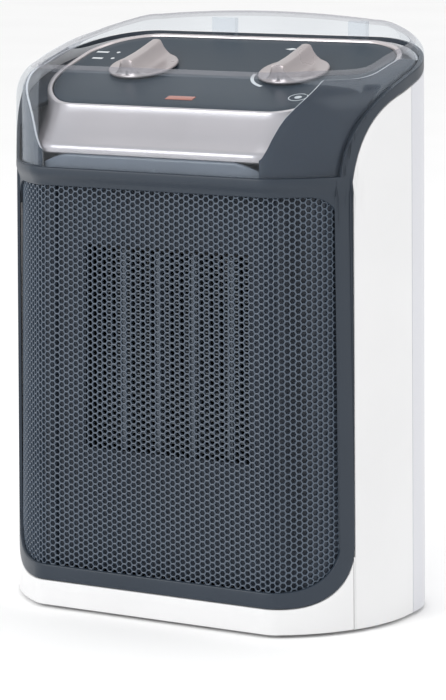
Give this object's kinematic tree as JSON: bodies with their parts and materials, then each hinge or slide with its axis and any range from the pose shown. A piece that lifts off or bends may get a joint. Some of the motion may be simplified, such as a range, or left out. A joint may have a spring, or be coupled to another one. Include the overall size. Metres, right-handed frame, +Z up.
{
  "type": "ceramic space heater",
  "caption": "Portable upright fan heater: white shell, honeycomb grille over a ceramic element, inclined knob panel inside a clear hoop.",
  "frame": {"origin": "middle of the footprint, on the surface that the feet stand on", "axes": "+Z up; the front grille faces -Y; X across the width"},
  "size_m": [0.19, 0.112, 0.262],
  "materials": {
    "white_shell": "fine satin moulded ABS",
    "slate_frame": "satin slate blue-grey moulded plastic",
    "slate_grille": "satin moulded honeycomb",
    "panel_gloss": "smooth gloss slate",
    "clear_hoop": "polished clear polycarbonate",
    "taupe_metallic": "metallic taupe lacquer on plastic",
    "lamp_red": "translucent red lens",
    "black_plastic": "heat-resistant moulding",
    "grey_ceramic": "dull ceramic and phenolic",
    "fin_aluminium": "mill finish sheet",
    "steel": "plated steel",
    "copper_winding": "enamelled copper wire",
    "rubber_foot": "matt rubber"
  },
  "bodies": {
    "casing": {"front_housing": "white_shell", "rear_housing": "white_shell", "base_plate": "white_shell", "front_frame": "slate_frame", "top_deck": "slate_frame", "front_grille": "slate_grille", "control_panel": "panel_gloss", "clear_cover": "clear_hoop", "pilot_lamp": "clear_hoop", "control_fascia": "taupe_metallic", "pilot_lens": "lamp_red", "heater_frame": "black_plastic", "fan_shroud": "black_plastic", "selector_switch": "black_plastic", "tip_over_switch": "black_plastic", "cord_gland": "black_plastic", "ceramic_bar_1": "grey_ceramic", "ceramic_bar_2": "grey_ceramic", "ceramic_bar_3": "grey_ceramic", "ceramic_bar_4": "grey_ceramic", "thermostat_body": "grey_ceramic", "terminal_block": "grey_ceramic", "fin_pack_1": "fin_aluminium", "fin_pack_2": "fin_aluminium", "fin_pack_3": "fin_aluminium", "fin_pack_4": "fin_aluminium", "fin_pack_5": "fin_aluminium", "front_bracket": "fin_aluminium", "rear_bracket": "fin_aluminium", "motor_stator": "steel", "thermal_cutout": "steel", "case_screw_1": "steel", "case_screw_2": "steel", "case_screw_3": "steel", "case_screw_4": "steel", "motor_coil": "copper_winding", "foot_1": "rubber_foot", "foot_2": "rubber_foot", "foot_3": "rubber_foot", "foot_4": "rubber_foot"},
    "selector": {"selector_knob": "taupe_metallic", "selector_spindle": "steel"},
    "thermostat": {"thermostat_knob": "taupe_metallic", "thermostat_spindle": "steel"},
    "fan": {"fan_impeller": "black_plastic", "motor_shaft": "steel", "motor_rotor": "steel"}
  },
  "joints": [
    {"name": "selector_turn", "type": "hinge", "parent": "casing", "child": "selector", "pos_m": [-0.038, 0.008, 0.23728], "axis": [0, -0.2768, 0.9609], "range_deg": [0, 120]},
    {"name": "thermostat_turn", "type": "hinge", "parent": "casing", "child": "thermostat", "pos_m": [0.038, 0.008, 0.23728], "axis": [0, -0.2768, 0.9609], "range_deg": [-135, 135]},
    {"name": "fan_spin", "type": "hinge", "parent": "casing", "child": "fan", "pos_m": [0, -0.002, 0.116], "axis": [0, -1, 0], "continuous": true}
  ]
}
